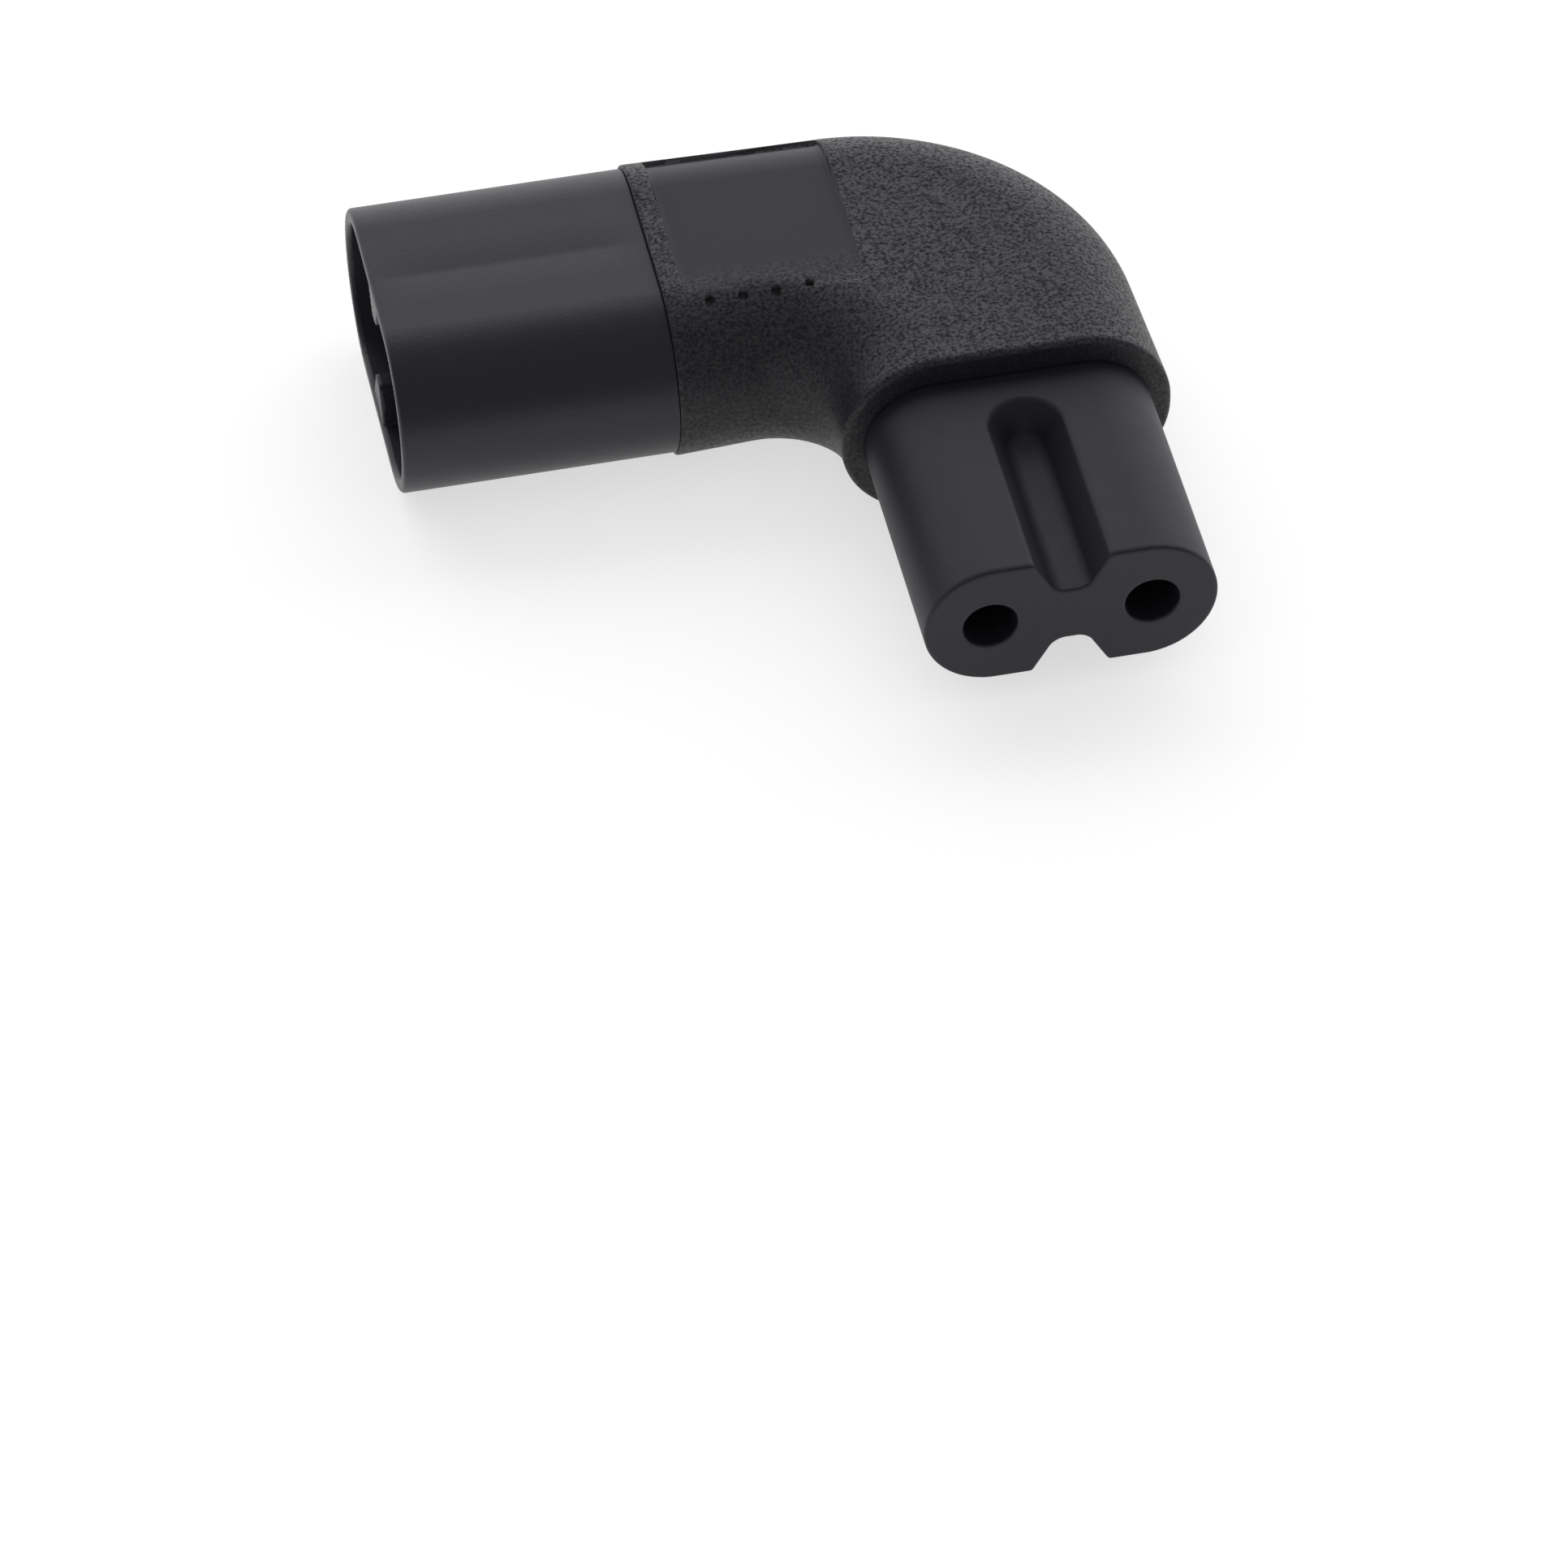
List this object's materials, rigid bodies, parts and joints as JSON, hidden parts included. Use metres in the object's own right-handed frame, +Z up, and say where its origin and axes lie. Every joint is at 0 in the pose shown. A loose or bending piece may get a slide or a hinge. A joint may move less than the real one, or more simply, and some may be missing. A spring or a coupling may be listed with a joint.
{
  "type": "right-angle figure-eight power adapter",
  "caption": "Flat right-angle mains adapter with a shrouded figure-eight pin inlet on one leg and a figure-eight socket nose on the other, in a soft overmoulded elbow.",
  "frame": {"origin": "under the middle of the bounding box, on the surface that the elbow lies on", "axes": "the inlet looks along -X, the nose along -Y, and +Z is up, out of the wide face with the panel"},
  "size_m": [0.0406, 0.0368, 0.0106],
  "materials": {
    "soft_black": "fine moulded grain",
    "hard_black": "smooth satin",
    "nickel": "bright nickel plate",
    "contact_brass": "plain sprung brass",
    "copper": "bare copper",
    "blue_insulation": "smooth",
    "brown_insulation": "smooth"
  },
  "bodies": {
    "root": {"overmould_body": "soft_black", "inlet_shroud": "hard_black", "connector_nose": "hard_black", "inner_pin": "nickel", "outer_pin": "nickel", "inner_socket_contact": "contact_brass", "outer_socket_contact": "contact_brass", "inner_jumper_wire": "copper", "outer_jumper_wire": "copper", "inner_jumper_insulation": "blue_insulation", "outer_jumper_insulation": "brown_insulation"}
  },
  "joints": []
}
